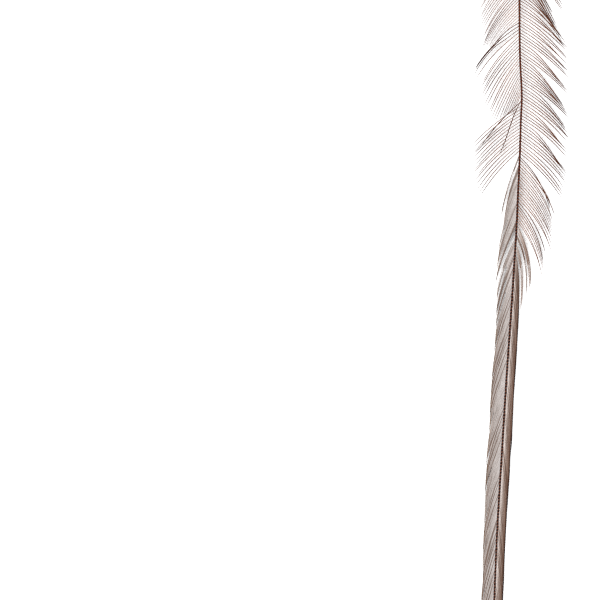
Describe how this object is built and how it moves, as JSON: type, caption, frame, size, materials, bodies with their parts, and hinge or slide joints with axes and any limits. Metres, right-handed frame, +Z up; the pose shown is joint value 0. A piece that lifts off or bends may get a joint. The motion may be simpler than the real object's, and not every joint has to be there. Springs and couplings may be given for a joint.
{
  "type": "hackle feather",
  "caption": "Long, narrow hackle feather with a bare quill, a tuft of down, barbs splayed along its upper part and a slim closed vane down to the tip, lying flat.",
  "frame": {"origin": "on the surface that the feather lies on, midway along its length and midway between its outermost barbs on either side", "axes": "+Y along the feather from its tip to its bare butt, +Z up from the surface, +X to the right of the stem seen from above with the butt at the top"},
  "size_m": [0.018, 0.1746, 0.0022],
  "materials": {
    "keratin": "satin, dun brown-grey"
  },
  "bodies": {
    "root": {"hackle_feather": "keratin"}
  },
  "joints": []
}
